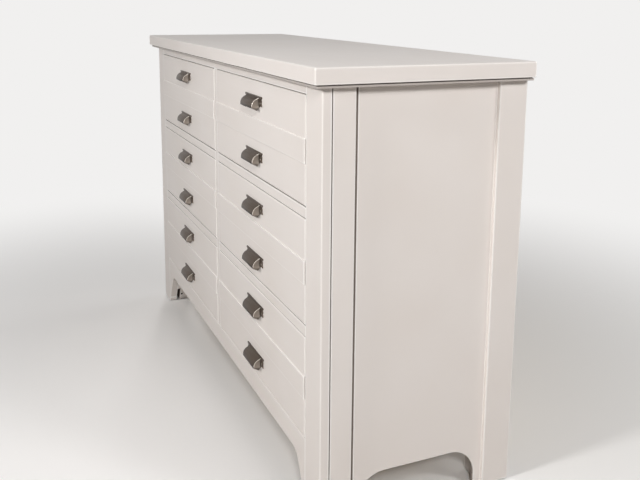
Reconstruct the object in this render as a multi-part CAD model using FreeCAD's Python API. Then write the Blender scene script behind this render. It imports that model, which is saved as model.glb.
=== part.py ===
import FreeCAD, Part
import math
import os

# Double dresser: a painted case on cut-out feet, with two columns of three deep inset
# drawers and two cup pulls on each drawer. Lengths are in millimetres, +Z is up and the
# front faces -Y. The origin is on the floor, at the middle of the dresser's outline.

# Overall
case_width = 1536.0
case_depth = 500.0
overall_height = 1020.0
top_thickness = 35.0
top_overhang = 28.0
top_arris = 4.0
top_corner_radius = 2.5
top_under_arris = 1.5
moulding_thickness = 7.5
moulding_overhang = 21.0
moulding_arris = 2.0
moulding_side_width = 43.0
quirk_height = 2.6
quirk_depth = 6.0

# Face frame
frame_thickness = 24.0
stile_width = 83.0
centre_stile_width = 24.0
top_rail_height = 21.5
mid_rail_height = 24.0
bottom_rail_height = 56.0
frame_arris = 1.5
sill_arris = 3.2
case_corner_radius = 3.0
joint_groove_width = 3.0
joint_groove_depth = 6.5

# Arch under the front and the feet beside it
arch_rise = 118.5
arch_corner_radius = 45.0
foot_width = 76.0
foot_taper_run = 60.0
arch_arris = 2.0

# Ends of the case
side_thickness = 22.0
side_front_stile_width = 51.5
side_rear_stile_width = 73.0
panel_recess = 10.0
panel_thickness = 10.0
reveal_width = 9.5
reveal_depth = 6.0
tongue_length = 8.0
tongue_clearance = 0.2
side_arch_rise = 99.9
side_arch_radius = 68.0
side_arch_inset = 19.5

# Inside of the case
back_thickness = 6.0
back_rebate = 10.0
rear_rail_thickness = 20.0
rear_rail_height = 60.0
bottom_panel_thickness = 12.0
runner_thickness = 20.0
outer_runner_reach = 20.0
inner_runner_width = 22.0
guide_width = 22.0
guide_height = 20.0
guide_clearance = 1.0
stop_height = 20.0
stop_clearance = 0.3

# Feet
glide_height = 3.0
glide_radius = 11.0
nail_radius = 1.5
nail_length = 15.0
hole_clearance = 0.2
foot_block_slot = 12.0
foot_block_slot_height = 52.0
foot_block_width = 123.0
foot_block_depth = 42.0
rear_foot_block_width = 76.0
foot_screw_height = 28.0
foot_screw_setback = 19.0
foot_screw_head_radius = 4.0
foot_screw_head_height = 2.5
foot_screw_shank_radius = 2.0
foot_screw_bite = 12.0

# Drawers
row_names = ("bottom", "middle", "top")
column_names = (("left", -1), ("right", 1))
drawer_side_gap = 2.5
drawer_top_gap = 2.0
drawer_bottom_gap = 3.0
front_proud = 1.2
front_thickness = 20.0
front_arris = 3.2
band_height = 54.0
band_relief = 2.5
band_arris = 1.0
box_clearance = 3.0
box_side_thickness = 12.0
box_seat = 0.3
box_headroom = 8.2
box_rear_space = 4.0
box_bottom_thickness = 6.0
box_bottom_lift = 12.0
box_groove_depth = 6.0
box_groove_clearance = 0.2

# Cup pulls
# How far each pull sits above or below the middle of the plain field that it is on
upper_pull_offset = -6.8
lower_pull_offset = 2.0
flange_length = 124.0
flange_height = 4.0
plate_thickness = 3.0
hood_length = 88.0
hood_reach = 22.0
hood_start_drop = 3.0
hood_shoulder_drop = 13.5
hood_shoulder_radius = 19.0
hood_lip_drop = 28.3
hood_tail_drop = 35.3
hood_tail_reach = 8.0
plate_drop = 26.5
hood_wall = 2.0
cap_rim_width = 1.8
cap_rim_depth = 0.8
ear_width = 17.5
# Outline of one ear, outwards from the hood and down from the flange, as shares of the
# ear's width and of the plate's drop below the flange, each with its corner's radius share
ear_shares = (
    (0.0, 0.0, 0.0),
    (0.93, 0.0, 0.0),
    (0.62, 0.14, 0.10),
    (1.0, 0.30, 0.20),
    (0.78, 0.55, 0.14),
    (1.0, 0.90, 0.0),
    (0.40, 0.80, 0.24),
    (0.0, 1.0, 0.0),
)
ear_screw_out_share = 0.46
ear_screw_down_share = 0.58
pull_screw_head_radius = 3.2
pull_screw_head_height = 1.8
pull_screw_shank_radius = 1.5
pull_screw_bite = 13.0

# One allowance lets a cutting tool run past the wood that it cuts
overrun = 5.0
# Two edges or corners nearer than this count as the same place
same_place = 0.01

# Levels and faces that the pieces share
half_width = case_width / 2
face_y = top_overhang - (case_depth + top_overhang) / 2
back_y = face_y + case_depth
wood_bottom = glide_height
case_top = overall_height - top_thickness - moulding_thickness
opening_low = arch_rise + bottom_rail_height
opening_high = case_top - top_rail_height
opening_height = (opening_high - opening_low - 2 * mid_rail_height) / 3
opening_pitch = opening_height + mid_rail_height
opening_inner = centre_stile_width / 2
opening_outer = half_width - stile_width
frame_back_y = face_y + frame_thickness
front_y = face_y - front_proud
front_back_y = front_y + front_thickness
back_panel_y = back_y - back_thickness
rear_rail_y = back_panel_y - rear_rail_thickness
side_inner = half_width - side_thickness
front_stile_end_y = frame_back_y + side_front_stile_width
rear_stile_start_y = back_y - side_rear_stile_width
front_block_end_y = frame_back_y + foot_block_depth
panel_outer = half_width - panel_recess
panel_inner = panel_outer - panel_thickness
tongue_outer = panel_outer - reveal_depth
bottom_panel_top = opening_low - runner_thickness
bottom_panel_low = bottom_panel_top - bottom_panel_thickness
back_panel_low = bottom_panel_low - rear_rail_height
box_back_y = rear_rail_y - box_rear_space
box_height = opening_height - box_seat - box_headroom


def box(x0, x1, y0, y1, z0, z1):
    return Part.makeBox(x1 - x0, y1 - y0, z1 - z0, FreeCAD.Vector(x0, y0, z0))


def mirrored(shape):
    return shape.mirror(FreeCAD.Vector(0, 0, 0), FreeCAD.Vector(1, 0, 0))


def both_sides(shape):
    return [shape, mirrored(shape)]


def on_xz(y):
    return lambda u, v: FreeCAD.Vector(u, y, v)


def on_yz(x):
    return lambda u, v: FreeCAD.Vector(x, u, v)


def corner_arc(before, corner, after, radius):
    # Start, middle and end of the arc that rounds one corner of a flat outline
    to_before = (before[0] - corner[0], before[1] - corner[1])
    to_after = (after[0] - corner[0], after[1] - corner[1])
    length_before = math.hypot(*to_before)
    length_after = math.hypot(*to_after)
    unit_before = (to_before[0] / length_before, to_before[1] / length_before)
    unit_after = (to_after[0] / length_after, to_after[1] / length_after)
    cosine = unit_before[0] * unit_after[0] + unit_before[1] * unit_after[1]
    half_angle = math.acos(max(-1.0, min(1.0, cosine))) / 2
    reach = radius / math.tan(half_angle)
    bisector = (unit_before[0] + unit_after[0], unit_before[1] + unit_after[1])
    bisector_length = math.hypot(*bisector)
    inward = radius / math.sin(half_angle) - radius
    start = (corner[0] + unit_before[0] * reach, corner[1] + unit_before[1] * reach)
    end = (corner[0] + unit_after[0] * reach, corner[1] + unit_after[1] * reach)
    middle = (
        corner[0] + bisector[0] / bisector_length * inward,
        corner[1] + bisector[1] / bisector_length * inward,
    )
    return start, middle, end


def outline_face(points, place):
    # A flat face through (u, v, radius) points, each corner rounded by its radius
    stops = []
    for i, (u, v, radius) in enumerate(points):
        if radius > 0:
            before = points[i - 1]
            after = points[(i + 1) % len(points)]
            stops.append(corner_arc(before, (u, v), after, radius))
        else:
            stops.append(((u, v), None, (u, v)))
    edges = []
    for i, (start, middle, end) in enumerate(stops):
        if middle is not None:
            edges.append(Part.Arc(place(*start), place(*middle), place(*end)).toShape())
        next_start = stops[(i + 1) % len(stops)][0]
        if math.dist(end, next_start) > same_place:
            edges.append(Part.LineSegment(place(*end), place(*next_start)).toShape())
    return Part.Face(Part.Wire(edges))


def prism_along_x(points, x0, x1):
    return outline_face(points, on_yz(x0)).extrude(FreeCAD.Vector(x1 - x0, 0, 0))


def prism_along_y(points, y0, y1):
    return outline_face(points, on_xz(y0)).extrude(FreeCAD.Vector(0, y1 - y0, 0))


def all_at(edge, axis, value):
    places = [getattr(vertex, axis) for vertex in edge.Vertexes]
    return all(abs(place - value) < same_place for place in places)


def eased(shape, radius, *planes):
    # Rounds each edge that lies in every one of the planes of at least one group
    edges = [
        edge for edge in shape.Edges
        if any(all(all_at(edge, axis, value) for axis, value in group) for group in planes)
    ]
    return shape.makeFillet(radius, edges)


def top_panel():
    x = half_width + top_overhang
    front = face_y - top_overhang
    low = overall_height - top_thickness
    slab = box(-x, x, front, back_y, low, overall_height)
    slab = eased(slab, top_corner_radius, (("X", -x), ("Y", front)), (("X", x), ("Y", front)))
    slab = slab.makeFillet(top_arris, [
        edge for edge in slab.Edges
        if all_at(edge, "Z", overall_height) and not all_at(edge, "Y", back_y)
    ])
    return slab.makeFillet(top_under_arris, [
        edge for edge in slab.Edges
        if all_at(edge, "Z", low) and not all_at(edge, "Y", back_y)
    ])


def top_moulding():
    # Thin strips between the case and the top: three show as a moulding, one is at the back
    x = half_width + moulding_overhang
    front = face_y - moulding_overhang
    high = case_top + moulding_thickness
    front_strip = box(-x, x, front, frame_back_y, case_top, high)
    front_strip = eased(
        front_strip, moulding_arris,
        (("Y", front), ("Z", case_top)),
        (("X", -x), ("Z", case_top)),
        (("X", x), ("Z", case_top)),
        (("X", -x), ("Y", front)),
        (("X", x), ("Y", front)),
    )
    side_strip = box(x - moulding_side_width, x, frame_back_y, back_y, case_top, high)
    side_strip = eased(side_strip, moulding_arris, (("X", x), ("Z", case_top)))
    rear_x = x - moulding_side_width
    rear_strip = box(-rear_x, rear_x, rear_rail_y, back_y, case_top, high)
    front_strip = front_strip.cut(moulding_quirk(x, front, high))
    side_strip = side_strip.cut(moulding_quirk(x, front, high))
    return [front_strip, rear_strip] + both_sides(side_strip)


def moulding_quirk(x, front, high):
    # The narrow dark channel between the moulding's bead and the top, on three sides
    low = high - quirk_height
    across = box(-x - overrun, x + overrun, front - overrun, front + quirk_depth, low, high)
    along = box(x - quirk_depth, x + overrun, front - overrun, back_y + overrun, low, high)
    return [across] + both_sides(along)


def arch_tool(y0, y1):
    # The space under the front: sloping sides from the floor to two rounded corners
    floor_x = half_width - foot_width
    corner_x = floor_x - foot_taper_run
    points = (
        (-floor_x, 0, 0),
        (-corner_x, arch_rise, arch_corner_radius),
        (corner_x, arch_rise, arch_corner_radius),
        (floor_x, 0, 0),
    )
    return prism_along_y(points, y0, y1)


def face_stile():
    # The right one; the left one is its mirror image
    stile = box(opening_outer, half_width, face_y, frame_back_y, wood_bottom, case_top)
    stile = stile.cut(arch_tool(face_y - overrun, frame_back_y + overrun))
    joint_groove = box(
        half_width - joint_groove_depth, half_width + overrun,
        frame_back_y - joint_groove_width, frame_back_y + overrun,
        wood_bottom - overrun, case_top + overrun,
    )
    stile = stile.cut(joint_groove)
    return eased(stile, case_corner_radius, (("X", half_width), ("Y", face_y)))


def centre_stile():
    return box(-opening_inner, opening_inner, face_y, frame_back_y, opening_low, opening_high)


def top_rail():
    return box(-opening_outer, opening_outer, face_y, frame_back_y, opening_high, case_top)


def mid_rails():
    rails = []
    for level in range(1, len(row_names)):
        low = opening_low + level * opening_pitch - mid_rail_height
        high = low + mid_rail_height
        rail = box(opening_inner, opening_outer, face_y, frame_back_y, low, high)
        rail = eased(
            rail, frame_arris,
            (("Y", face_y), ("Z", low)),
            (("Y", face_y), ("Z", high)),
        )
        rails += both_sides(rail)
    return rails


def bottom_rail():
    rail = box(-opening_outer, opening_outer, face_y, frame_back_y, wood_bottom, opening_low)
    rail = rail.cut(arch_tool(face_y - overrun, frame_back_y + overrun))
    arch_edges = [
        edge for edge in rail.Edges
        if all_at(edge, "Y", face_y)
        and edge.BoundBox.ZMax < arch_rise + same_place
        and edge.BoundBox.XLength > same_place
        and not all_at(edge, "Z", wood_bottom)
    ]
    rail = rail.makeFillet(arch_arris, arch_edges)
    return eased(rail, sill_arris, (("Y", face_y), ("Z", opening_low)))


def side_arch_tool():
    low_y = front_stile_end_y + side_arch_inset
    high_y = rear_stile_start_y - side_arch_inset
    points = (
        (low_y, 0, 0),
        (low_y, side_arch_rise, side_arch_radius),
        (high_y, side_arch_rise, side_arch_radius),
        (high_y, 0, 0),
    )
    return prism_along_x(points, panel_inner - overrun, half_width + overrun)


def tongue_groove(y0, y1):
    # The groove that takes the panel's tongue, a little wider than the tongue
    return box(
        panel_inner - tongue_clearance, tongue_outer + tongue_clearance,
        y0, y1, wood_bottom - overrun, case_top + overrun,
    )


def side_front_stile():
    stile = box(side_inner, half_width, frame_back_y, front_stile_end_y, wood_bottom, case_top)
    groove_start = front_stile_end_y - tongue_length - tongue_clearance
    stile = stile.cut(tongue_groove(groove_start, front_stile_end_y + overrun))
    stile = stile.cut(foot_screw_hole(front_foot_screw_y()))
    return eased(stile, frame_arris, (("X", half_width), ("Y", front_stile_end_y)))


def side_rear_stile():
    stile = box(side_inner, half_width, rear_stile_start_y, back_y, wood_bottom, case_top)
    groove_end = rear_stile_start_y + tongue_length + tongue_clearance
    stile = stile.cut(tongue_groove(rear_stile_start_y - overrun, groove_end))
    rebate = box(
        side_inner - overrun, side_inner + back_rebate,
        back_panel_y, back_y + overrun, back_panel_low, case_top + overrun,
    )
    stile = stile.cut(rebate)
    stile = stile.cut(foot_screw_hole(rear_foot_screw_y()))
    return eased(
        stile, frame_arris,
        (("X", half_width), ("Y", rear_stile_start_y)),
        (("X", half_width), ("Y", back_y)),
    )


def side_panel():
    # A flat field set back from the stiles, with a deep groove behind the front one
    field_start = front_stile_end_y + reveal_width
    field_end = rear_stile_start_y
    field = box(panel_inner, panel_outer, field_start, field_end, wood_bottom, case_top)
    tongues = box(
        panel_inner, tongue_outer,
        front_stile_end_y - tongue_length, rear_stile_start_y + tongue_length,
        wood_bottom, case_top,
    )
    panel = field.fuse(tongues).removeSplitter()
    panel = panel.cut(side_arch_tool())
    arch_edges = [
        edge for edge in panel.Edges
        if all_at(edge, "X", panel_outer)
        and edge.BoundBox.ZMax < side_arch_rise + same_place
        and not all_at(edge, "Z", wood_bottom)
        and edge.BoundBox.YMin > field_start + same_place
        and edge.BoundBox.YMax < field_end - same_place
    ]
    return panel.makeFillet(arch_arris, arch_edges)


def back_panel():
    x = side_inner + back_rebate
    return box(-x, x, back_panel_y, back_y, back_panel_low, case_top)


def rear_rails():
    lows = (back_panel_low, case_top - rear_rail_height)
    return [
        box(-side_inner, side_inner, rear_rail_y, back_panel_y, low, low + rear_rail_height)
        for low in lows
    ]


def bottom_panel():
    return box(
        -side_inner, side_inner, frame_back_y, back_panel_y, bottom_panel_low, bottom_panel_top,
    )


def centre_partition():
    board = box(
        -opening_inner, opening_inner, frame_back_y, back_panel_y, bottom_panel_top, case_top,
    )
    return board.cut(rear_rails())


def opening_floor(row):
    return opening_low + row * opening_pitch


def drawer_runners():
    runners = []
    for row in range(len(row_names)):
        high = opening_floor(row)
        low = high - runner_thickness
        outer = box(
            opening_outer - outer_runner_reach, side_inner,
            frame_back_y, back_panel_y, low, high,
        )
        inner = box(
            opening_inner, opening_inner + inner_runner_width,
            frame_back_y, back_panel_y, low, high,
        )
        runners += both_sides(outer) + both_sides(inner)
    return runners


def drawer_guides():
    guides = []
    edge = opening_outer - box_clearance + guide_clearance
    for row in range(len(row_names)):
        low = opening_floor(row)
        guide = box(
            edge, edge + guide_width, frame_back_y, back_panel_y, low, low + guide_height,
        )
        guides += both_sides(guide)
    return guides


def box_side_spans():
    # The two side boards' extents across the right-hand drawer's width
    outer = opening_outer - box_clearance
    inner = opening_inner + box_clearance
    return ((inner, inner + box_side_thickness), (outer - box_side_thickness, outer))


def box_inside_span():
    near_side, far_side = box_side_spans()
    return near_side[1], far_side[0]


def drawer_stops():
    stops = []
    start = box_back_y + stop_clearance
    for row in range(len(row_names)):
        low = opening_floor(row)
        for x0, x1 in box_side_spans():
            stop = box(x0, x1, start, back_panel_y, low, low + stop_height)
            stops += both_sides(stop)
    return stops


def front_foot_screw_y():
    return frame_back_y + foot_screw_setback


def rear_foot_screw_y():
    return rear_stile_start_y + foot_screw_setback


def foot_screw_seat(block_width):
    # Where the screw's head meets the inner face of the foot block
    return half_width - block_width - foot_taper_run * foot_screw_height / arch_rise


def cylinder_x(radius, x0, x1, y, z):
    start = FreeCAD.Vector(x0, y, z)
    return Part.makeCylinder(radius, x1 - x0, start, FreeCAD.Vector(1, 0, 0))


def foot_screw_hole(y):
    radius = foot_screw_shank_radius + hole_clearance
    start = foot_screw_seat(foot_width) - overrun
    end = side_inner + foot_screw_bite + hole_clearance
    return cylinder_x(radius, start, end, y, foot_screw_height)


def front_foot_block():
    block = box(
        half_width - foot_block_width, side_inner,
        frame_back_y, front_block_end_y, wood_bottom, bottom_panel_low,
    )
    block = block.cut(arch_tool(frame_back_y - overrun, front_block_end_y + overrun))
    slot = box(
        half_width - foot_block_width - overrun, side_inner + overrun,
        frame_back_y - overrun, frame_back_y + foot_block_slot,
        wood_bottom - overrun, wood_bottom + foot_block_slot_height,
    )
    block = block.cut(slot)
    return drilled_foot_block(block, front_foot_screw_y(), front_glide_y())


def rear_foot_block():
    block = box(
        half_width - rear_foot_block_width, side_inner,
        rear_stile_start_y, rear_rail_y, wood_bottom, bottom_panel_low,
    )
    return drilled_foot_block(block, rear_foot_screw_y(), rear_glide_y())


def drilled_foot_block(block, screw_y, glide_y):
    seat = foot_screw_seat(foot_width)
    head_radius = foot_screw_head_radius + hole_clearance
    counterbore = cylinder_x(
        head_radius, seat - foot_block_width, seat + foot_screw_head_height,
        screw_y, foot_screw_height,
    )
    nail = Part.makeCylinder(
        nail_radius + hole_clearance, nail_length + hole_clearance,
        FreeCAD.Vector(glide_x(), glide_y, wood_bottom),
    )
    block = block.cut(foot_screw_hole(screw_y))
    return block.cut(counterbore).cut(nail)


def foot_blocks():
    return both_sides(front_foot_block()) + both_sides(rear_foot_block())


def foot_screws():
    screws = []
    seat = foot_screw_seat(foot_width)
    for y in (front_foot_screw_y(), rear_foot_screw_y()):
        head = cylinder_x(
            foot_screw_head_radius, seat, seat + foot_screw_head_height, y, foot_screw_height,
        )
        shank = cylinder_x(
            foot_screw_shank_radius, seat + foot_screw_head_height / 2,
            side_inner + foot_screw_bite, y, foot_screw_height,
        )
        screws += both_sides(head.fuse(shank).removeSplitter())
    return screws


def glide_x():
    return (side_inner + half_width - foot_width) / 2


def front_glide_y():
    return (frame_back_y + foot_block_slot + front_block_end_y) / 2


def rear_glide_y():
    return (rear_stile_start_y + rear_rail_y) / 2


def glides():
    pads = []
    for y in (front_glide_y(), rear_glide_y()):
        foot = FreeCAD.Vector(glide_x(), y, 0)
        pad = Part.makeCylinder(glide_radius, glide_height, foot)
        pad = eased(pad, glide_height / 3, (("Z", 0),))
        nail = Part.makeCylinder(nail_radius, glide_height + nail_length, foot)
        pads += both_sides(pad.fuse(nail).removeSplitter())
    return pads


def front_span():
    return opening_inner + drawer_side_gap, opening_outer - drawer_side_gap


def front_levels(row):
    low = opening_floor(row) + drawer_bottom_gap
    return low, opening_floor(row) + opening_height - drawer_top_gap


def pull_centre_x():
    x0, x1 = front_span()
    return (x0 + x1) / 2


def band_levels(row):
    low, high = front_levels(row)
    middle = (low + high) / 2
    return middle - band_height / 2, middle + band_height / 2


def pull_tops(row):
    # The flange tops of the upper and lower pulls, one in each field beside the band
    low, high = front_levels(row)
    band_low, band_high = band_levels(row)
    upper = (band_high + high) / 2 + upper_pull_offset
    lower = (low + band_low) / 2 + lower_pull_offset
    return upper + hood_tail_drop / 2, lower + hood_tail_drop / 2


def pull_screw_places(row):
    out = hood_length / 2 + ear_width * ear_screw_out_share
    down = flange_height + (plate_drop - flange_height) * ear_screw_down_share
    centre = pull_centre_x()
    return [(centre + side * out, top - down) for top in pull_tops(row) for side in (-1, 1)]


def drawer_front(row):
    x0, x1 = front_span()
    low, high = front_levels(row)
    board = box(x0, x1, front_y, front_back_y, low, high)
    board = eased(
        board, front_arris,
        (("Y", front_y), ("Z", low)),
        (("Y", front_y), ("Z", high)),
        (("Y", front_y), ("X", x0)),
        (("Y", front_y), ("X", x1)),
    )
    band_y = front_y - band_relief
    band_low, band_high = band_levels(row)
    band = box(x0, x1, band_y, front_y + front_thickness / 2, band_low, band_high)
    band = eased(
        band, band_arris,
        (("Y", band_y), ("Z", band_low)),
        (("Y", band_y), ("Z", band_high)),
        (("Y", band_y), ("X", x0)),
        (("Y", band_y), ("X", x1)),
    )
    front = board.fuse(band).removeSplitter()
    front = front.cut(bottom_groove(row, front_back_y - box_groove_depth))
    for x, z in pull_screw_places(row):
        hole = Part.makeCylinder(
            pull_screw_shank_radius + hole_clearance, overrun + pull_screw_bite + hole_clearance,
            FreeCAD.Vector(x, front_y - overrun, z), FreeCAD.Vector(0, 1, 0),
        )
        front = front.cut(hole)
    return front


def bottom_levels(row):
    low = opening_floor(row) + box_seat + box_bottom_lift
    return low, low + box_bottom_thickness


def bottom_groove(row, y0):
    # The groove round the box that holds its bottom, cut in the front and both sides
    x0, x1 = box_inside_span()
    low, high = bottom_levels(row)
    return box(
        x0 - box_groove_depth, x1 + box_groove_depth,
        y0, box_back_y + overrun, low - box_groove_clearance, high + box_groove_clearance,
    )


def drawer_sides(row):
    low = opening_floor(row) + box_seat
    groove = bottom_groove(row, front_y)
    return [
        box(x0, x1, front_back_y, box_back_y, low, low + box_height).cut(groove)
        for x0, x1 in box_side_spans()
    ]


def drawer_back(row):
    x0, x1 = box_inside_span()
    low = bottom_levels(row)[1]
    high = opening_floor(row) + box_seat + box_height
    return box(x0, x1, box_back_y - box_side_thickness, box_back_y, low, high)


def drawer_bottom(row):
    x0, x1 = box_inside_span()
    reach = box_groove_depth - box_groove_clearance
    start = front_back_y - reach
    low, high = bottom_levels(row)
    return box(x0 - reach, x1 + reach, start, box_back_y, low, high)


def hood_outline():
    # The hood's side view, from the drawer's face round to the lip and the tail
    reach = front_y - hood_reach
    return (
        (front_y, -hood_start_drop, 0),
        (front_y - plate_thickness, -hood_start_drop, 0),
        (reach, -hood_shoulder_drop, hood_shoulder_radius),
        (reach, -hood_lip_drop, 0),
        (front_y - hood_tail_reach, -hood_tail_drop, 0),
        (front_y, -plate_drop, 0),
    )


def hood_hollow_outline():
    # The finger space: the same curve one wall further in, and open below
    reach = front_y - hood_reach + hood_wall
    below = -hood_tail_drop - overrun
    return (
        (front_y + overrun, -hood_start_drop - hood_wall, 0),
        (front_y - plate_thickness, -hood_start_drop - hood_wall, 0),
        (reach, -hood_shoulder_drop, hood_shoulder_radius - hood_wall),
        (reach, below, 0),
        (front_y + overrun, below, 0),
    )


def cap_pocket_outline():
    # The shallow field of each end cap, inside its raised rim
    reach = front_y - hood_reach + cap_rim_width
    return (
        (front_y - plate_thickness, -hood_start_drop - cap_rim_width, 0),
        (reach, -hood_shoulder_drop, hood_shoulder_radius - cap_rim_width),
        (reach, -hood_lip_drop + cap_rim_width, 0),
        (front_y - hood_tail_reach, -hood_tail_drop + cap_rim_width, 0),
        (front_y - plate_thickness, -plate_drop, 0),
    )


def cup_pull():
    # One casting, its flange's top at z = 0 and its middle at x = 0
    half = hood_length / 2
    hood = prism_along_x(hood_outline(), -half, half)
    hollow = prism_along_x(hood_hollow_outline(), -half + hood_wall, half - hood_wall)
    pocket = prism_along_x(cap_pocket_outline(), half - cap_rim_depth, half + overrun)
    hood = hood.cut([hollow] + both_sides(pocket))
    bar = box(
        -flange_length / 2, flange_length / 2, front_y - plate_thickness, front_y,
        -flange_height, 0,
    )
    depth = plate_drop - flange_height
    ear_points = [
        (half + out * ear_width, -flange_height - down * depth, radius * ear_width)
        for out, down, radius in ear_shares
    ]
    ear = prism_along_y(ear_points, front_y - plate_thickness, front_y)
    pull = hood.fuse([bar] + both_sides(ear)).removeSplitter()
    out = half + ear_width * ear_screw_out_share
    down = flange_height + depth * ear_screw_down_share
    for x in (-out, out):
        hole = Part.makeCylinder(
            pull_screw_shank_radius + hole_clearance, plate_thickness + 2 * overrun,
            FreeCAD.Vector(x, front_y - plate_thickness - overrun, -down),
            FreeCAD.Vector(0, 1, 0),
        )
        pull = pull.cut(hole)
    return pull


def drawer_pulls(row):
    pulls = []
    for top in pull_tops(row):
        pull = cup_pull()
        pull.translate(FreeCAD.Vector(pull_centre_x(), 0, top))
        pulls.append(pull)
    return pulls


def pull_screw(x, z):
    # A domed head on the ear's face and a plain shank into the drawer front
    head_y = front_y - plate_thickness
    head_height = pull_screw_head_height
    ball_radius = (pull_screw_head_radius ** 2 + head_height ** 2) / (2 * head_height)
    ball = Part.makeSphere(ball_radius, FreeCAD.Vector(x, head_y - head_height + ball_radius, z))
    reach = pull_screw_head_radius + head_height
    room = box(x - reach, x + reach, head_y - reach, head_y, z - reach, z + reach)
    shank = Part.makeCylinder(
        pull_screw_shank_radius, plate_thickness + pull_screw_bite,
        FreeCAD.Vector(x, head_y, z), FreeCAD.Vector(0, 1, 0),
    )
    return ball.common(room).fuse(shank).removeSplitter()


def drawer_screws(row):
    return [pull_screw(x, z) for x, z in pull_screw_places(row)]


def save(name, shapes):
    solids = shapes if isinstance(shapes, list) else [shapes]
    whole = solids[0] if len(solids) == 1 else Part.makeCompound(solids)
    whole.exportStep(os.path.join("parts", name + ".step"))
    print(name, len(whole.Solids), "solid, valid", whole.isValid())


def main():
    os.makedirs("parts", exist_ok=True)
    save("top_panel", top_panel())
    save("top_moulding", top_moulding())
    save("face_stile_right", face_stile())
    save("face_stile_left", mirrored(face_stile()))
    save("centre_stile", centre_stile())
    save("top_rail", top_rail())
    save("mid_rails", mid_rails())
    save("bottom_rail", bottom_rail())
    save("side_front_stile_right", side_front_stile())
    save("side_front_stile_left", mirrored(side_front_stile()))
    save("side_rear_stile_right", side_rear_stile())
    save("side_rear_stile_left", mirrored(side_rear_stile()))
    save("side_panel_right", side_panel())
    save("side_panel_left", mirrored(side_panel()))
    save("back_panel", back_panel())
    save("rear_rails", rear_rails())
    save("bottom_panel", bottom_panel())
    save("centre_partition", centre_partition())
    save("drawer_runners", drawer_runners())
    save("drawer_guides", drawer_guides())
    save("drawer_stops", drawer_stops())
    save("foot_blocks", foot_blocks())
    save("foot_screws", foot_screws())
    save("glides", glides())
    makers = (
        ("front", drawer_front),
        ("sides", drawer_sides),
        ("back", drawer_back),
        ("bottom", drawer_bottom),
        ("pulls", drawer_pulls),
        ("pull_screws", drawer_screws),
    )
    for row, row_name in enumerate(row_names):
        for part_name, maker in makers:
            made = maker(row)
            solids = made if isinstance(made, list) else [made]
            for column_name, side in column_names:
                placed = solids if side > 0 else [mirrored(solid) for solid in solids]
                save(f"drawer_{column_name}_{row_name}_{part_name}", placed)


main()
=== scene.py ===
import math

import bmesh
import bpy
from mathutils import Matrix, Vector


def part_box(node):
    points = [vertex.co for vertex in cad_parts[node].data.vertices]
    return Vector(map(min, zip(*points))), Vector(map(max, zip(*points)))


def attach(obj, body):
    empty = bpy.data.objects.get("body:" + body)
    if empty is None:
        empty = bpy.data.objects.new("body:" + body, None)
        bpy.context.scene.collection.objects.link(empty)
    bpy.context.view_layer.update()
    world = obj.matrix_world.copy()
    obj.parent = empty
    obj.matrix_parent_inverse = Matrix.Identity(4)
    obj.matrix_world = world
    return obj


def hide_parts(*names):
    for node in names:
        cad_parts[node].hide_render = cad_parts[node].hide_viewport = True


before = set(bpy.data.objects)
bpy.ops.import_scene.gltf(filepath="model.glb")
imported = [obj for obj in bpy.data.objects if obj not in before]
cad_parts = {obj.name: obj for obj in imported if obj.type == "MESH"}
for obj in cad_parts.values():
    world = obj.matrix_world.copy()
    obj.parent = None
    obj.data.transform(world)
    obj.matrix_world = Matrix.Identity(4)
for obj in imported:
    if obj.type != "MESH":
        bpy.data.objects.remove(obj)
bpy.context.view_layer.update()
print("frame loaded:", len(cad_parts), "nodes")


# Helpers for colours and nodes

def mm(length):
    return length / 1000


def perMillimetres(length):
    # texture scale that gives one feature for each such length
    return 1000 / length


def hexColour(code):
    # sRGB hex to the linear colour that a shader takes
    channels = [int(code[i:i + 2], 16) / 255 for i in (1, 3, 5)]
    linear = [c / 12.92 if c <= 0.04045 else ((c + 0.055) / 1.055) ** 2.4 for c in channels]
    return (*linear, 1.0)


def addNode(tree, kind, inputs=None, **settings):
    # one node, with its settings, and its inputs as values or as links from other nodes
    node = tree.nodes.new(kind)
    for name, value in settings.items():
        setattr(node, name, value)
    for name, value in (inputs or {}).items():
        if isinstance(value, bpy.types.NodeSocket):
            tree.links.new(value, node.inputs[name])
        else:
            node.inputs[name].default_value = value
    return node


def newMaterial(name):
    material = bpy.data.materials.new(name)
    material.use_nodes = True
    material.node_tree.nodes.clear()
    return material, material.node_tree


def finishMaterial(tree, shader):
    addNode(tree, "ShaderNodeOutputMaterial", {"Surface": shader.outputs[0]})


def streakCoordinates(tree, axis, across, along):
    # object coordinates, squeezed so that noise runs in streaks along one axis
    scale = [perMillimetres(across)] * 3
    scale[axis] = perMillimetres(along)
    place = addNode(tree, "ShaderNodeTexCoord").outputs["Object"]
    return addNode(tree, "ShaderNodeMapping", {"Vector": place, "Scale": scale}).outputs[0]


# Materials
# In a colour mix, input 0 is the factor, 6 and 7 are the two colours, and output 2 is the result.
# Each pair named "...Noise" gives the noise values at which a feature starts and is full.

widthAxis, depthAxis, heightAxis = range(3)
shineNoise = (0.3, 0.7)         # nearly all of a noise texture's values lie between these
nearRays = 8                    # rays that look for solid or open air close by

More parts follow.
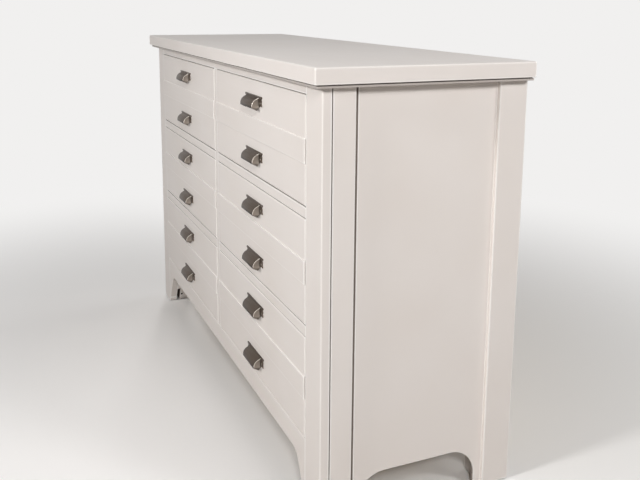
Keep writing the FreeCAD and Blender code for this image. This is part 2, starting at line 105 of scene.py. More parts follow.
paint = {
    "colour": "#E6DFDA",        # warm off-white
    "warmPatch": "#E3DBD5",     # where the coat is a little thicker
    "patchSize": 260,           # mm
    "patchNoise": (0.35, 0.7),
    "edgeHighlightColour": "#FFFDFA",    # painted highlight along a rounded edge
    "edgeSize": 4.5,            # mm
    "edgeSolid": (0.55, 0.90),  # share of solid close by, where the painted highlight is brightest and where it ends
    "edgeHighlightMost": 0.9,            # how strong the painted highlight is there
    "gapShadeColour": "#6E625A",     # painted shade down in the gaps between boards
    "gapSize": 11,              # mm, how wide a gap may be and still get the painted shade
    "gapOpen": (0.10, 0.45),    # share of open air close by, where the painted shade is darkest and where it ends
    "gapShadeShares": (0.6, 0.0),    # how much of the painted shade shows at those two
    "panelFace": 758.0,         # mm from the dresser's middle to the side panel's face
    "revealDepth": (1.0, 4.0),  # mm below that face, where painted shade darkens the groove beside it
    "revealShadeMost": 0.85,         # how dark the painted shade is at the bottom
    "grainAcross": 3.5,         # mm, drawn coarser than real pores so that it shows
    "grainAlong": 120,          # mm
    "grainHeight": 0.05,        # mm
    "peelSize": 2.2,            # mm, drawn coarser than real orange peel so that it shows
    "peelHeight": 0.02,         # mm
    "roughness": (0.40, 0.50),
    "ior": 1.5,
}
mouldingPaint = {               # a narrow strip in the top's shade: painted shade darkens all of it, most of all in its quirk
    "edgeHighlightMost": 0.0,
    "gapOpen": (0.35, 0.98),
    "gapShadeShares": (0.95, 0.35),
}
blockPaint = {                  # painted shade reaches deep into the slot behind a foot
    "gapSize": 36,
    "gapOpen": (0.20, 0.55),
    "gapShadeShares": (1.0, 0.0),
}


def revealShadeShare(tree, place):
    # painted shade in the groove beside a side panel, by its depth below the panel's face
    across = addNode(tree, "ShaderNodeSeparateXYZ", {0: place}).outputs["X"]
    distance = addNode(tree, "ShaderNodeMath", {0: across}, operation="ABSOLUTE").outputs[0]
    shallow, deep = (mm(paint["panelFace"] - depth) for depth in paint["revealDepth"])
    return addNode(tree, "ShaderNodeMapRange", {
        "Value": distance, "From Min": deep, "From Max": shallow,
        "To Min": paint["revealShadeMost"], "To Max": 0.0,
    }).outputs[0]


def paintColour(tree, coat, place, reveal):
    # off-white with warmer patches, a painted highlight along rounded edges and painted shade down
    # in the gaps
    patches = addNode(tree, "ShaderNodeTexNoise", {
        "Vector": place, "Scale": perMillimetres(coat["patchSize"]), "Detail": 2.0,
    }).outputs[0]
    thin, thick = coat["patchNoise"]
    patchShare = addNode(tree, "ShaderNodeMapRange", {
        "Value": patches, "From Min": thin, "From Max": thick,
    }).outputs[0]
    flat = addNode(tree, "ShaderNodeMix", {
        0: patchShare, 6: hexColour(coat["colour"]), 7: hexColour(coat["warmPatch"]),
    }, data_type="RGBA").outputs[2]
    # painted highlight: whiter where solid lies close inside the surface, along rounded edges
    solidness = addNode(tree, "ShaderNodeAmbientOcclusion", {
        "Distance": mm(coat["edgeSize"]),
    }, samples=nearRays, inside=True, only_local=True).outputs["AO"]
    whitest, inward = coat["edgeSolid"]
    edgeHighlightShare = addNode(tree, "ShaderNodeMapRange", {
        "Value": solidness, "From Min": whitest, "From Max": inward,
        "To Min": coat["edgeHighlightMost"], "To Max": 0.0,
    }).outputs[0]
    edgeHighlighted = addNode(tree, "ShaderNodeMix", {
        0: edgeHighlightShare, 6: flat, 7: hexColour(coat["edgeHighlightColour"]),
    }, data_type="RGBA").outputs[2]
    # painted shade: darker where little open air lies close by, in gaps and recesses
    openness = addNode(tree, "ShaderNodeAmbientOcclusion", {
        "Distance": mm(coat["gapSize"]),
    }, samples=nearRays).outputs["AO"]
    dullest, outward = coat["gapOpen"]
    most, least = coat["gapShadeShares"]
    gapShadeShare = addNode(tree, "ShaderNodeMapRange", {
        "Value": openness, "From Min": dullest, "From Max": outward,
        "To Min": most, "To Max": least,
    }).outputs[0]
    if reveal:
        gapShadeShare = addNode(tree, "ShaderNodeMath", {
            0: gapShadeShare, 1: revealShadeShare(tree, place),
        }, operation="MAXIMUM").outputs[0]
    return addNode(tree, "ShaderNodeMix", {
        0: gapShadeShare, 6: edgeHighlighted, 7: hexColour(coat["gapShadeColour"]),
    }, data_type="RGBA").outputs[2]


def satinPaint(name, grainAxis, reveal=False, **changes):
    # Sprayed satin lacquer over wood: soft sheen, a ghost of the grain, faint orange peel,
    # painted highlights along its rounded edges and painted shade in its gaps and recesses
    coat = {**paint, **changes}
    material, tree = newMaterial(name)
    place = addNode(tree, "ShaderNodeTexCoord").outputs["Object"]
    streaks = streakCoordinates(tree, grainAxis, coat["grainAcross"], coat["grainAlong"])
    grain = addNode(tree, "ShaderNodeTexNoise", {
        "Vector": streaks, "Scale": 1.0, "Detail": 3.0, "Roughness": 0.6,
    }).outputs[0]
    peel = addNode(tree, "ShaderNodeTexNoise", {
        "Vector": place, "Scale": perMillimetres(coat["peelSize"]), "Detail": 1.0,
    }).outputs[0]
    low, high = coat["roughness"]
    shine = addNode(tree, "ShaderNodeMapRange", {
        "Value": grain, "From Min": shineNoise[0], "From Max": shineNoise[1],
        "To Min": low, "To Max": high,
    }).outputs[0]
    grainBump = addNode(tree, "ShaderNodeBump", {
        "Height": grain, "Distance": mm(coat["grainHeight"]),
    }).outputs[0]
    bump = addNode(tree, "ShaderNodeBump", {
        "Height": peel, "Distance": mm(coat["peelHeight"]), "Normal": grainBump,
    }).outputs[0]
    finishMaterial(tree, addNode(tree, "ShaderNodeBsdfPrincipled", {
        "Base Color": paintColour(tree, coat, place, reveal), "Roughness": shine,
        "Normal": bump, "IOR": coat["ior"],
    }))
    return material


poplar = {
    "sapwood": "#D9C29B",
    "heartwood": "#B99B6C",
    "poreColour": "#8E7047",
    "ringAcross": 16,           # mm between growth rings on a flat-sawn board
    "ringAlong": 620,           # mm
    "ringNoise": (0.34, 0.68),
    "poreAcross": 1.2,          # mm, coarser than real pores so that they show
    "poreAlong": 34,            # mm
    "poreNoise": (0.58, 0.80),
    "poreMost": 0.5,
    "poreHeight": 0.08,         # mm
    "boardTint": 0.22,          # how much one board may differ from the next
    "roughness": (0.46, 0.60),
    "ior": 1.5,                 # its lacquer's
}


def planedPoplar(name, grainAxis):
    # Planed and lacquered boards: soft growth rings along the board, fine pores between them,
    # and each board a shade apart from its neighbour
    material, tree = newMaterial(name)
    bands = streakCoordinates(tree, grainAxis, poplar["ringAcross"], poplar["ringAlong"])
    board = addNode(tree, "ShaderNodeNewGeometry").outputs["Random Per Island"]
    rings = addNode(tree, "ShaderNodeTexNoise", {
        "Vector": bands, "W": board, "Scale": 1.0, "Detail": 4.0, "Roughness": 0.5,
        "Distortion": 0.7,
    }, noise_dimensions="4D").outputs[0]
    streaks = streakCoordinates(tree, grainAxis, poplar["poreAcross"], poplar["poreAlong"])
    pores = addNode(tree, "ShaderNodeTexNoise", {
        "Vector": streaks, "Scale": 1.0, "Detail": 2.0, "Roughness": 0.5,
    }).outputs[0]
    early, late = poplar["ringNoise"]
    ringShare = addNode(tree, "ShaderNodeMapRange", {
        "Value": rings, "From Min": early, "From Max": late,
    }).outputs[0]
    tint = addNode(tree, "ShaderNodeMath", {
        0: board, 1: poplar["boardTint"],
    }, operation="MULTIPLY").outputs[0]
    ringAndTint = addNode(tree, "ShaderNodeMath", {
        0: ringShare, 1: tint,
    }, operation="ADD", use_clamp=True).outputs[0]
    wood = addNode(tree, "ShaderNodeMix", {
        0: ringAndTint, 6: hexColour(poplar["sapwood"]), 7: hexColour(poplar["heartwood"]),
    }, data_type="RGBA").outputs[2]
    start, full = poplar["poreNoise"]
    poreShare = addNode(tree, "ShaderNodeMapRange", {
        "Value": pores, "From Min": start, "From Max": full,
        "To Min": 0.0, "To Max": poplar["poreMost"],
    }).outputs[0]
    colour = addNode(tree, "ShaderNodeMix", {
        0: poreShare, 6: wood, 7: hexColour(poplar["poreColour"]),
    }, data_type="RGBA").outputs[2]
    bump = addNode(tree, "ShaderNodeBump", {
        "Height": pores, "Distance": mm(poplar["poreHeight"]), "Strength": 0.6,
    }).outputs[0]
    low, high = poplar["roughness"]
    shine = addNode(tree, "ShaderNodeMapRange", {
        "Value": pores, "From Min": shineNoise[0], "From Max": shineNoise[1],
        "To Min": low, "To Max": high,
    }).outputs[0]
    finishMaterial(tree, addNode(tree, "ShaderNodeBsdfPrincipled", {
        "Base Color": colour, "Roughness": shine, "Normal": bump, "IOR": poplar["ior"],
    }))
    return material


plywood = {
    "pale": "#DCC7A2",
    "dark": "#CDB388",
    "fleck": "#A98B61",
    "figureAcross": 70,         # mm, the broad figure of a peeled veneer
    "figureAlong": 420,         # mm
    "figureNoise": (0.30, 0.72),
    "fleckAcross": 1.0,         # mm, coarser than real pores so that they show
    "fleckAlong": 14,           # mm
    "fleckNoise": (0.62, 0.85),
    "fleckMost": 0.45,
    "fleckHeight": 0.05,        # mm
    "roughness": (0.50, 0.62),
    "ior": 1.5,                 # its sealer's
}


def peeledBirch(name, grainAxis):
    # Birch plywood, sanded and sealed: a broad cloudy figure and short fine flecks
    material, tree = newMaterial(name)
    wide = streakCoordinates(tree, grainAxis, plywood["figureAcross"], plywood["figureAlong"])
    figure = addNode(tree, "ShaderNodeTexNoise", {
        "Vector": wide, "Scale": 1.0, "Detail": 3.0, "Roughness": 0.45, "Distortion": 1.2,
    }).outputs[0]
    fine = streakCoordinates(tree, grainAxis, plywood["fleckAcross"], plywood["fleckAlong"])
    flecks = addNode(tree, "ShaderNodeTexNoise", {
        "Vector": fine, "Scale": 1.0, "Detail": 2.0, "Roughness": 0.5,
    }).outputs[0]
    start, full = plywood["figureNoise"]
    figureShare = addNode(tree, "ShaderNodeMapRange", {
        "Value": figure, "From Min": start, "From Max": full,
    }).outputs[0]
    veneer = addNode(tree, "ShaderNodeMix", {
        0: figureShare, 6: hexColour(plywood["pale"]), 7: hexColour(plywood["dark"]),
    }, data_type="RGBA").outputs[2]
    start, full = plywood["fleckNoise"]
    fleckShare = addNode(tree, "ShaderNodeMapRange", {
        "Value": flecks, "From Min": start, "From Max": full,
        "To Min": 0.0, "To Max": plywood["fleckMost"],
    }).outputs[0]
    colour = addNode(tree, "ShaderNodeMix", {
        0: fleckShare, 6: veneer, 7: hexColour(plywood["fleck"]),
    }, data_type="RGBA").outputs[2]
    bump = addNode(tree, "ShaderNodeBump", {
        "Height": flecks, "Distance": mm(plywood["fleckHeight"]), "Strength": 0.5,
    }).outputs[0]
    low, high = plywood["roughness"]
    shine = addNode(tree, "ShaderNodeMapRange", {
        "Value": flecks, "From Min": shineNoise[0], "From Max": shineNoise[1],
        "To Min": low, "To Max": high,
    }).outputs[0]
    finishMaterial(tree, addNode(tree, "ShaderNodeBsdfPrincipled", {
        "Base Color": colour, "Roughness": shine, "Normal": bump, "IOR": plywood["ior"],
    }))
    return material


pewter = {
    # colour of a face, and how bright its edges are, worn and with a painted highlight
    "brushed": ("#5B5047", 0.12),   # the hood and the flange
    "capsPaintedLight": ("#A0978E", 0.3),     # the flat end caps, lightened by a painted reflection
    "wornAndHighlit": ("#FAF2E8", 1.0),     # the caps' rims, rubbed by hands and painted near white as a highlight
    "wornAndHighlitSize": 1.1,              # mm
    "wornAndHighlitSolid": (0.55, 0.92),    # share of metal close by, at the brightest and where it ends
    "patinaAndShade": "#1F1916",            # dark oxide left in the creases, also the colour of painted shade under the lip and beside each cap
    "creaseSize": 4.0,              # mm
    "creaseOpen": (0.40, 0.90),     # share of open air close by, at the darkest and where it ends
    "lip": (-22.0, -27.0),          # mm from the pull's top, where painted shade darkens the hood towards its lip
    "tail": (-26.5, -31.5),         # mm from the pull's top, where painted shade darkens the end caps
    "fadeMost": 0.75,
    "shoulder": 43.0,               # mm from the pull's middle to the painted dark line beside a cap
    "shoulderHalf": (0.8, 1.8),     # mm, the line's half width, without and with its soft edge
    "shoulderMost": 0.6,
    "scratchAcross": 0.6,           # mm, drawn coarser than real brushing so that it shows
    "scratchAlong": 22,             # mm
    "scratchHeight": 0.03,          # mm
    "roughness": (0.34, 0.50),
}


def shoulderLine(tree, x):
    # painted shade: a dark line on the hood, a set distance to the left and right of the pull's
    # middle
    across = addNode(tree, "ShaderNodeMath", {0: x}, operation="ABSOLUTE").outputs[0]
    beside = addNode(tree, "ShaderNodeMath", {
        0: across, 1: mm(pewter["shoulder"]),
    }, operation="SUBTRACT").outputs[0]
    gap = addNode(tree, "ShaderNodeMath", {0: beside}, operation="ABSOLUTE").outputs[0]
    dark, clear = (mm(half) for half in pewter["shoulderHalf"])
    return addNode(tree, "ShaderNodeMapRange", {
        "Value": gap, "From Min": dark, "From Max": clear,
        "To Min": pewter["shoulderMost"], "To Max": 0.0,
    }).outputs[0]


def patinaAndShadeShare(tree, fade, shoulder):
    # how dark it is: black patina in creases, painted shade down a fade and beside each cap
    place = addNode(tree, "ShaderNodeTexCoord").outputs["Object"]
    axes = addNode(tree, "ShaderNodeSeparateXYZ", {0: place}).outputs
    openness = addNode(tree, "ShaderNodeAmbientOcclusion", {
        "Distance": mm(pewter["creaseSize"]),
    }, samples=nearRays, only_local=True).outputs["AO"]
    darkest, outward = pewter["creaseOpen"]
    creases = addNode(tree, "ShaderNodeMapRange", {
        "Value": openness, "From Min": darkest, "From Max": outward, "To Min": 1.0, "To Max": 0.0,
    }).outputs[0]
    # painted shade, darker towards the lower edge
    high, low = (mm(level) for level in pewter[fade])
    below = addNode(tree, "ShaderNodeMapRange", {
        "Value": axes["Z"], "From Min": low, "From Max": high,
        "To Min": pewter["fadeMost"], "To Max": 0.0,
    }).outputs[0]
    share = addNode(tree, "ShaderNodeMath", {
        0: creases, 1: below,
    }, operation="MAXIMUM").outputs[0]
    if shoulder:
        share = addNode(tree, "ShaderNodeMath", {
            0: share, 1: shoulderLine(tree, axes["X"]),
        }, operation="MAXIMUM").outputs[0]
    return share


def agedPewterAndPaintedLight(name, kind, fade, shoulder=False):
    # Cast zinc with a brushed dark pewter finish: satin metal along the brushing,
    # black patina in its creases, painted shade under the lip, worn edges brightened by a painted
    # highlight
    face, wornAndHighlitMost = pewter[kind]
    wornAndHighlitColour = pewter["wornAndHighlit"][0]
    material, tree = newMaterial(name)
    streaks = streakCoordinates(tree, widthAxis, pewter["scratchAcross"], pewter["scratchAlong"])
    scratches = addNode(tree, "ShaderNodeTexNoise", {
        "Vector": streaks, "Scale": 1.0, "Detail": 3.0, "Roughness": 0.6,
    }).outputs[0]
    # edges lighter from wear and from a painted highlight
    solidness = addNode(tree, "ShaderNodeAmbientOcclusion", {
        "Distance": mm(pewter["wornAndHighlitSize"]),
    }, samples=nearRays, inside=True, only_local=True).outputs["AO"]
    brightest, inward = pewter["wornAndHighlitSolid"]
    wornAndHighlitShare = addNode(tree, "ShaderNodeMapRange", {
        "Value": solidness, "From Min": brightest, "From Max": inward,
        "To Min": wornAndHighlitMost, "To Max": 0.0,
    }).outputs[0]
    metal = addNode(tree, "ShaderNodeMix", {
        0: wornAndHighlitShare, 6: hexColour(face), 7: hexColour(wornAndHighlitColour),
    }, data_type="RGBA").outputs[2]
    colour = addNode(tree, "ShaderNodeMix", {
        0: patinaAndShadeShare(tree, fade, shoulder), 6: metal, 7: hexColour(pewter["patinaAndShade"]),
    }, data_type="RGBA").outputs[2]
    bump = addNode(tree, "ShaderNodeBump", {
        "Height": scratches, "Distance": mm(pewter["scratchHeight"]),
    }).outputs[0]
    low, high = pewter["roughness"]
    shine = addNode(tree, "ShaderNodeMapRange", {
        "Value": scratches, "From Min": shineNoise[0], "From Max": shineNoise[1],
        "To Min": low, "To Max": high,
    }).outputs[0]
    finishMaterial(tree, addNode(tree, "ShaderNodeBsdfPrincipled", {
        "Base Color": colour, "Metallic": 1.0, "Normal": bump, "Roughness": shine,
    }))
    return material


smallParts = {
    # colour, metallic, roughness
    "blackenedSteel": ("#2B2724", 1.0, (0.42, 0.56)),
    "mouldedNylon": ("#3B3733", 0.0, (0.48, 0.62)),
    "grit": 0.9,                # mm
    "gritHeight": 0.03,         # mm
}


def smallPart(kind):
    # Blackened steel or moulded nylon: a dull, slightly grainy surface
    colour, metallic, (low, high) = smallParts[kind]
    material, tree = newMaterial(kind)
    place = addNode(tree, "ShaderNodeTexCoord").outputs["Object"]
    grit = addNode(tree, "ShaderNodeTexNoise", {
        "Vector": place, "Scale": perMillimetres(smallParts["grit"]), "Detail": 2.0,
    }).outputs[0]
    shine = addNode(tree, "ShaderNodeMapRange", {
        "Value": grit, "From Min": shineNoise[0], "From Max": shineNoise[1],
        "To Min": low, "To Max": high,
    }).outputs[0]
    bump = addNode(tree, "ShaderNodeBump", {
        "Height": grit, "Distance": mm(smallParts["gritHeight"]),
    }).outputs[0]
    finishMaterial(tree, addNode(tree, "ShaderNodeBsdfPrincipled", {
        "Base Color": hexColour(colour), "Metallic": metallic, "Normal": bump,
        "Roughness": shine,
    }))
    return material


materials = {
    "paintAlongWidth": satinPaint("satinPaintAlongWidth", widthAxis),
    "paintUpright": satinPaint("satinPaintUpright", heightAxis),
    "paintMoulding": satinPaint("satinPaintMoulding", widthAxis, **mouldingPaint),
    "paintPanels": satinPaint("satinPaintPanels", heightAxis, reveal=True),
    "paintBlocks": satinPaint("satinPaintBlocks", heightAxis, **blockPaint),
    "poplarFrontToBack": planedPoplar("poplarFrontToBack", depthAxis),
    "poplarAlongWidth": planedPoplar("poplarAlongWidth", widthAxis),
    "birchPlywood": peeledBirch("birchPlywood", widthAxis),
    "pewter": agedPewterAndPaintedLight("brushedPewter", "brushed", "lip", shoulder=True),
    "pewterCaps": agedPewterAndPaintedLight("capsPaintedLightPewter", "capsPaintedLight", "tail"),
    "pewterRims": agedPewterAndPaintedLight("wornAndHighlitPewter", "wornAndHighlit", "lip"),
    "blackenedSteel": smallPart("blackenedSteel"),
    "mouldedNylon": smallPart("mouldedNylon"),
}
print("materials made:", len(materials))


# Each CAD node's finish, with the grain along its boards

nodeFinishes = {
    "top_panel": "paintAlongWidth", "top_moulding": "paintMoulding",
    "top_rail": "paintAlongWidth", "mid_rails": "paintAlongWidth",
    "bottom_rail": "paintAlongWidth", "centre_stile": "paintUpright",
    "face_stile_left": "paintUpright", "face_stile_right": "paintUpright",
    "side_front_stile_left": "paintUpright", "side_front_stile_right": "paintUpright",
    "side_rear_stile_left": "paintUpright", "side_rear_stile_right": "paintUpright",
    "side_panel_left": "paintPanels", "side_panel_right": "paintPanels",
    "foot_blocks": "paintBlocks", "back_panel": "birchPlywood",
    "rear_rails": "poplarAlongWidth", "bottom_panel": "birchPlywood",
    "centre_partition": "poplarFrontToBack", "drawer_runners": "poplarFrontToBack",
    "drawer_guides": "poplarFrontToBack", "drawer_stops": "poplarFrontToBack",
    "foot_screws": "blackenedSteel", "glides": "mouldedNylon",
}
drawerFinishes = {              # by the end of the node's name, the same in all six drawers
    "front": "paintAlongWidth", "sides": "poplarFrontToBack", "back": "poplarAlongWidth",
    "bottom": "birchPlywood", "pulls": "pewter", "pull_screws": "pewter",
}


def finishNodes():
    for name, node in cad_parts.items():
        finish = nodeFinishes.get(name)
        if finish is None:
            finish = next(f for part, f in drawerFinishes.items() if name.endswith("_" + part))
        node.data.materials.clear()
        node.data.materials.append(materials[finish])


finishNodes()
print("nodes finished")


# Meshes made from the nodes

cleaning = {
    "mergeDistance": 0.001,     # mm
    "flatAngle": 0.3,           # degrees, below which two faces count as one
}


def cleanCopy(node, lowest=-math.inf):
    # the node's mesh above a level, with its coplanar triangles joined
    shape = bmesh.new()
    shape.from_mesh(node.data)
    outside = [v for v in shape.verts if v.co.z <= lowest]
    bmesh.ops.delete(shape, geom=outside, context="VERTS")
    bmesh.ops.remove_doubles(shape, verts=shape.verts, dist=mm(cleaning["mergeDistance"]))
    bmesh.ops.dissolve_limit(
        shape, angle_limit=math.radians(cleaning["flatAngle"]),
        verts=shape.verts, edges=shape.edges,
    )
    return shape


def softenEdges(shape, radius, steps, sharpAngle):
    sharp = [
        edge for edge in shape.edges
        if len(edge.link_faces) == 2 and edge.calc_face_angle() > math.radians(sharpAngle)
    ]
    bmesh.ops.bevel(
        shape, geom=sharp, offset=mm(radius), offset_type="OFFSET", segments=steps,
        profile=0.5, affect="EDGES", clamp_overlap=True,
    )


def meshFrom(shape, name, sharpAngle, material):
    mesh = bpy.data.meshes.new(name)
    bmesh.ops.recalc_face_normals(shape, faces=shape.faces)
    shape.to_mesh(mesh)
    shape.free()
    mesh.shade_smooth()
    mesh.set_sharp_from_angle(angle=math.radians(sharpAngle))
    mesh.materials.append(material)
    return mesh


def placePiece(mesh, name, place, body, slot, *nodes):
    piece = bpy.data.objects.new(name, mesh)
    bpy.context.scene.collection.objects.link(piece)
    piece.location = place
    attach(piece, body)
    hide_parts(*nodes)
    return piece


def lowAndHigh(places):
    # the lowest and highest corner of the box round some points
    return tuple(Vector(pick(p[i] for p in places) for i in range(3)) for pick in (min, max))


def solidBoxes(node):
    # the box of each separate solid in a node, in the order of their lowest corners
    shape = bmesh.new()
    shape.from_mesh(node.data)
    bmesh.ops.remove_doubles(shape, verts=shape.verts, dist=mm(cleaning["mergeDistance"]))
    left = set(shape.verts)
    boxes = []
    while left:
        waiting = [left.pop()]
        places = []
        while waiting:
            vertex = waiting.pop()
            places.append(vertex.co.copy())
            for edge in vertex.link_edges:
                other = edge.other_vert(vertex)
                if other in left:
                    left.remove(other)
                    waiting.append(other)
        boxes.append(lowAndHigh(places))
    shape.free()
    return sorted(boxes, key=lambda box: tuple(box[0]))


drawers = [
    f"drawer_{column}_{row}"
    for row in ("bottom", "middle", "top") for column in ("left", "right")
]


# Cup pulls: one casting with softened edges, shared by the twelve places

pull = {
    "hoodHalf": 44.0,           # mm from the pull's middle to an end cap's rim
    "capDepth": 0.8,            # mm from the rim down to the cap's flat face
    "capSlack": 0.3,            # mm past those two, where a face still counts as rim or cap
    "endFacing": 0.6,           # how squarely such a face looks sideways, 1 at most
    "edgeRadius": 0.6,          # mm
    "edgeSteps": 3,
    "sharpAngle": 40,           # degrees between faces, above which an edge is softened
}


def finishCaps(mesh):
    # the end caps' flat faces carry a painted reflection and their rims a painted highlight, in
    # slots 1 and 2
    mesh.materials.append(materials["pewterCaps"])
    mesh.materials.append(materials["pewterRims"])
    rim = mm(pull["hoodHalf"])
    cap = rim - mm(pull["capDepth"])
    slack = mm(pull["capSlack"])
    for face in mesh.polygons:
        away = abs(face.center.x)
        if abs(face.normal.x) > pull["endFacing"] and cap - slack < away < rim + slack:
            face.material_index = 1 if away < (cap + rim) / 2 else 2


def makePulls():
    model = "drawer_right_top_pulls"
    low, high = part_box(model)
    shape = cleanCopy(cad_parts[model], lowest=(low.z + high.z) / 2)
    anchor = Vector(((low.x + high.x) / 2, high.y, high.z))
    bmesh.ops.translate(shape, verts=shape.verts, vec=-anchor)
    height = -min(v.co.z for v in shape.verts)
    softenEdges(shape, pull["edgeRadius"], pull["edgeSteps"], pull["sharpAngle"])
    mesh = meshFrom(shape, "cupPull", pull["sharpAngle"], materials["pewter"])
    finishCaps(mesh)
    for drawer in drawers:
        low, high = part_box(drawer + "_pulls")
        across = (low.x + high.x) / 2
        for which, top in (("upper", high.z), ("lower", low.z + height)):
            placePiece(
                mesh, f"{drawer}_{which}_pull", (across, high.y, top),
                drawer, "pewter", drawer + "_pulls",
            )


makePulls()
print("pulls made:", 2 * len(drawers))


# Screws: domed heads with a cross recess, in the pulls' ears and under the case

pullScrew = {
    "headRadius": 3.2,          # mm
    "headHeight": 1.8,          # mm
    "shankRadius": 1.5,         # mm
    "length": 17.8,             # mm, head and shank
    "tip": 3.0,                 # mm, the pointed end
    "recess": (1.9, 0.55, 1.2),  # mm, its reach from the middle, half its width, its depth
    "turn": 18,                 # degrees, as the screwdriver left it
    "turnStep": 40,             # degrees more for each next screw
}
footScrew = {                   # as above, with its length taken from the node
    "headRadius": 4.0,
    "headHeight": 2.5,
    "shankRadius": 2.0,
    "tip": 4.0,
    "recess": (2.4, 0.7, 1.7),
    "turn": 33,
    "turnStep": 25,
}
screwMesh = {
    "sides": 40,
    "domeSteps": 10,
    "recessTaper": (1.3, 0.7),  # the recess's size above the head and at its depth
    "sharpAngle": 35,           # degrees
}


def turnedShape(profile):
    # a solid of revolution round Y, from (radius, y) points whose first and last radius is zero
    sides = screwMesh["sides"]
    shape = bmesh.new()
    rings = []
    for radius, y in profile:
        turns = [2 * math.pi * i / sides for i in range(1 if radius == 0 else sides)]
        rings.append([
            shape.verts.new((radius * math.cos(t), y, radius * math.sin(t))) for t in turns
        ])
    for first, second in zip(rings, rings[1:]):
        for i in range(sides):
            j = i + 1
            corners = [
                first[i % len(first)], first[j % len(first)],
                second[j % len(second)], second[i % len(second)],
            ]
            shape.faces.new(list(dict.fromkeys(corners)))
    bmesh.ops.recalc_face_normals(shape, faces=shape.faces)
    return shape


def crossCutter(screw):
    # two tapered blades that cut the recess, from just above the head down to its depth
    reach, half, depth = (mm(v) for v in screw["recess"])
    wide, narrow = screwMesh["recessTaper"]
    above = mm(screw["headHeight"])
    square = ((-1, -1), (1, -1), (1, 1), (-1, 1))
    shape = bmesh.new()
    for along, across in ((reach, half), (half, reach)):
        upper, lower = (
            [shape.verts.new((x * along * size, level, z * across * size)) for x, z in square]
            for size, level in ((wide, -above), (narrow, depth))
        )
        shape.faces.new(upper)
        shape.faces.new(lower[::-1])
        for i in range(len(square)):
            j = (i + 1) % len(square)
            shape.faces.new((upper[j], upper[i], lower[i], lower[j]))
    bmesh.ops.recalc_face_normals(shape, faces=shape.faces)
    return shape


def looseObject(shape, name):
    mesh = bpy.data.meshes.new(name)
    shape.to_mesh(mesh)
    shape.free()
    loose = bpy.data.objects.new(name, mesh)
    bpy.context.scene.collection.objects.link(loose)
    return loose


def makeScrewMesh(screw, name, length, material):
    # the head's top is at y = 0 and the shank runs to +Y
    radius, height, shank = (mm(screw[k]) for k in ("headRadius", "headHeight", "shankRadius"))
    ball = (radius ** 2 + height ** 2) / (2 * height)   # radius of the dome's sphere
    steps = screwMesh["domeSteps"]
    levels = [height * i / steps for i in range(steps + 1)]
    dome = [(math.sqrt(max(0, ball ** 2 - (ball - level) ** 2)), level) for level in levels]
    profile = dome + [(shank, height), (shank, length - mm(screw["tip"])), (0, length)]
    turned = looseObject(turnedShape(profile), name + "Turned")
    blades = looseObject(crossCutter(screw), name + "Blades")
    cut = turned.modifiers.new("recess", "BOOLEAN")
    cut.object = blades
    cut.operation = "DIFFERENCE"
    cut.solver = "EXACT"
    cut.use_self = True
    ready = turned.evaluated_get(bpy.context.evaluated_depsgraph_get())
    shape = bmesh.new()
    shape.from_mesh(ready.to_mesh())
    ready.to_mesh_clear()
    for loose in (turned, blades):
        bpy.data.objects.remove(loose)
    return meshFrom(shape, name, screwMesh["sharpAngle"], material)


def makePullScrews():
    mesh = makeScrewMesh(pullScrew, "pullScrew", mm(pullScrew["length"]), materials["pewter"])
    for drawer in drawers:
        node = drawer + "_pull_screws"
        for i, (low, high) in enumerate(solidBoxes(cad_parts[node])):
            place = ((low.x + high.x) / 2, low.y, (low.z + high.z) / 2)
            piece = placePiece(
                mesh, f"{drawer}_screw_{i + 1}", place, drawer, "pewter_screws", node,
            )
            turn = pullScrew["turn"] + pullScrew["turnStep"] * i
            piece.rotation_euler = (0, math.radians(turn), 0)


def makeFootScrews():
    boxes = solidBoxes(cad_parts["foot_screws"])
    length = boxes[0][1].x - boxes[0][0].x
    mesh = makeScrewMesh(footScrew, "footScrew", length, materials["blackenedSteel"])
    for i, (low, high) in enumerate(boxes):
        side = 1 if low.x > 0 else -1
        place = (low.x if side > 0 else high.x, (low.y + high.y) / 2, (low.z + high.z) / 2)
        piece = placePiece(
            mesh, f"foot_screw_{i + 1}", place, "case", "dark_screws", "foot_screws",
        )
        # the shank runs outward, away from the dresser's middle
        outward = Matrix.Rotation(math.radians(-90 * side), 4, "Z")
        turn = footScrew["turn"] + footScrew["turnStep"] * i
        spin = Matrix.Rotation(math.radians(turn), 4, "Y")
        piece.rotation_euler = (outward @ spin).to_euler()


makePullScrews()
print("pull screws made")
makeFootScrews()
print("foot screws made")


# Drawer boxes: the planed boards with their edges rubbed soft

drawerBox = {
    "edgeRadius": 1.2,          # mm
    "edgeSteps": 3,
    "sharpAngle": 40,           # degrees between faces, above which an edge is softened
}


def makeDrawerBoards():
    for drawer in drawers:
        for part in ("sides", "back"):
            node = f"{drawer}_{part}"
            shape = cleanCopy(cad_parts[node])
            softenEdges(
                shape, drawerBox["edgeRadius"], drawerBox["edgeSteps"], drawerBox["sharpAngle"],
            )
            finish = materials[drawerFinishes[part]]
            mesh = meshFrom(shape, node + "Boards", drawerBox["sharpAngle"], finish)
            placePiece(mesh, node + "_boards", (0, 0, 0), drawer, "drawer_wood", node)


makeDrawerBoards()
print("drawer boards made:", 3 * len(drawers))


# Floor, light and camera

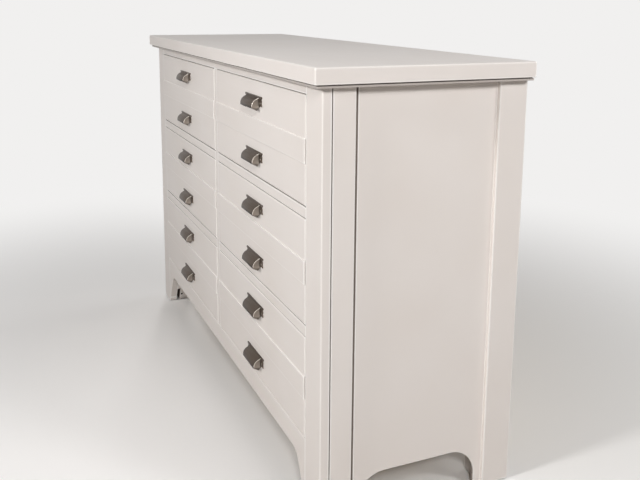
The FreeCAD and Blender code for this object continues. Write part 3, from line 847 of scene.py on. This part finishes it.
studio = {
    "floorColour": "#F6F4F2",
    "floorBounce": "#B4AFAA",   # what the floor throws back onto the object
    "floorRoughness": 0.75,
    "floorSize": 40.0,          # m
    "floorFade": (0.7, 2.6),    # m from the dresser's middle, where the floor goes over to sky
    "skyColour": "#F1F0EF",
    "skyLight": 0.13,           # how brightly the sky lights the object
    "lamps": {
        # place in m, what it points at, size in m, power in W
        "frontLamp": ((0.95, -2.5, 1.85), (0.4, -0.24, 0.45), 0.4, 42.0),
        "sideLamp": ((4.2, -1.5, 2.7), (0.77, 0.0, 0.5), 0.7, 84.0),
        "rightLamp": ((2.6, 1.2, 2.1), (0.77, 0.1, 0.4), 0.5, 21.0),
        "rearLamp": ((-1.0, 3.2, 2.0), (-0.1, 0.26, 0.5), 1.2, 20.0),
        "leftLamp": ((-3.4, 0.7, 0.78), (-0.77, 0.0, 0.5), 0.4, 20.0),
    },
}


def seenRays(tree):
    # 1 where the eye, a reflection or a clear surface looks, 0 for light on the object
    rays = addNode(tree, "ShaderNodeLightPath").outputs
    mirrored = addNode(tree, "ShaderNodeMath", {
        0: rays["Is Glossy Ray"], 1: rays["Is Transmission Ray"],
    }, operation="MAXIMUM").outputs[0]
    return addNode(tree, "ShaderNodeMath", {
        0: rays["Is Camera Ray"], 1: mirrored,
    }, operation="MAXIMUM").outputs[0]


def paleFloor():
    # Pale matt floor whose far part goes over into the backdrop, as a studio's sweep does
    material, tree = newMaterial("paleFloor")
    place = addNode(tree, "ShaderNodeTexCoord").outputs["Object"]
    away = addNode(tree, "ShaderNodeVectorMath", {0: place}, operation="LENGTH").outputs["Value"]
    start, end = studio["floorFade"]
    fade = addNode(tree, "ShaderNodeMapRange", {
        "Value": away, "From Min": start, "From Max": end,
    }, interpolation_type="SMOOTHSTEP").outputs[0]
    far = addNode(tree, "ShaderNodeMath", {
        0: fade, 1: seenRays(tree),
    }, operation="MULTIPLY").outputs[0]
    shade = addNode(tree, "ShaderNodeMix", {
        0: seenRays(tree), 6: hexColour(studio["floorBounce"]), 7: hexColour(studio["floorColour"]),
    }, data_type="RGBA").outputs[2]
    near = addNode(tree, "ShaderNodeBsdfPrincipled", {
        "Base Color": shade, "Roughness": studio["floorRoughness"],
    })
    sweep = addNode(tree, "ShaderNodeEmission", {"Color": hexColour(studio["skyColour"])})
    finishMaterial(tree, addNode(tree, "ShaderNodeMixShader", {
        0: far, 1: near.outputs[0], 2: sweep.outputs[0],
    }))
    return material


def makeFloor():
    half = studio["floorSize"] / 2
    mesh = bpy.data.meshes.new("studioFloor")
    corners = [(-half, -half, 0), (half, -half, 0), (half, half, 0), (-half, half, 0)]
    mesh.from_pydata(corners, [], [(0, 1, 2, 3)])
    mesh.materials.append(paleFloor())
    floor = bpy.data.objects.new("studioFloor", mesh)
    bpy.context.scene.collection.objects.link(floor)


def makeSky():
    world = bpy.data.worlds.new("studioSky")
    bpy.context.scene.world = world
    world.use_nodes = True
    tree = world.node_tree
    tree.nodes.clear()
    light = addNode(tree, "ShaderNodeBackground", {
        "Color": hexColour(studio["skyColour"]), "Strength": studio["skyLight"],
    })
    backdrop = addNode(tree, "ShaderNodeBackground", {
        "Color": hexColour(studio["skyColour"]), "Strength": 1.0,
    })
    mix = addNode(tree, "ShaderNodeMixShader", {
        0: seenRays(tree), 1: light.outputs[0], 2: backdrop.outputs[0],
    })
    addNode(tree, "ShaderNodeOutputWorld", {"Surface": mix.outputs[0]})


def makeLamps():
    for name, (place, aim, size, power) in studio["lamps"].items():
        lamp = bpy.data.lights.new(name, "AREA")
        lamp.size = size
        lamp.energy = power
        light = bpy.data.objects.new(name, lamp)
        bpy.context.scene.collection.objects.link(light)
        light.location = place
        direction = Vector(aim) - light.location
        light.rotation_euler = direction.to_track_quat("-Z", "Y").to_euler()


camera = {
    "place": (2.1785, -0.8532, 1.1412),   # m
    "azimuth": 66.52,           # degrees, turned left from looking straight at the drawers
    "tilt": 10.06,              # degrees down
    "roll": 0.399,              # degrees
    "lens": 43.92,              # mm
    "sensor": 36,               # mm wide
    "shift": (0.0, -0.153),     # the photograph's optical centre lies near its top edge
}


def makeCamera():
    eye = bpy.data.cameras.new("photoCamera")
    eye.lens = camera["lens"]
    eye.sensor_width = camera["sensor"]
    eye.shift_x, eye.shift_y = camera["shift"]
    cameraObject = bpy.data.objects.new("photoCamera", eye)
    bpy.context.scene.collection.objects.link(cameraObject)
    turn = Matrix.Rotation(math.radians(camera["azimuth"]), 4, "Z")
    lean = Matrix.Rotation(math.radians(90 - camera["tilt"]), 4, "X")
    roll = Matrix.Rotation(math.radians(camera["roll"]), 4, "Z")
    cameraObject.matrix_world = Matrix.Translation(camera["place"]) @ turn @ lean @ roll
    bpy.context.scene.camera = cameraObject


makeFloor()
makeSky()
makeLamps()
makeCamera()
bpy.context.scene.view_settings.view_transform = "Standard"
print("floor, sky, light and camera made")
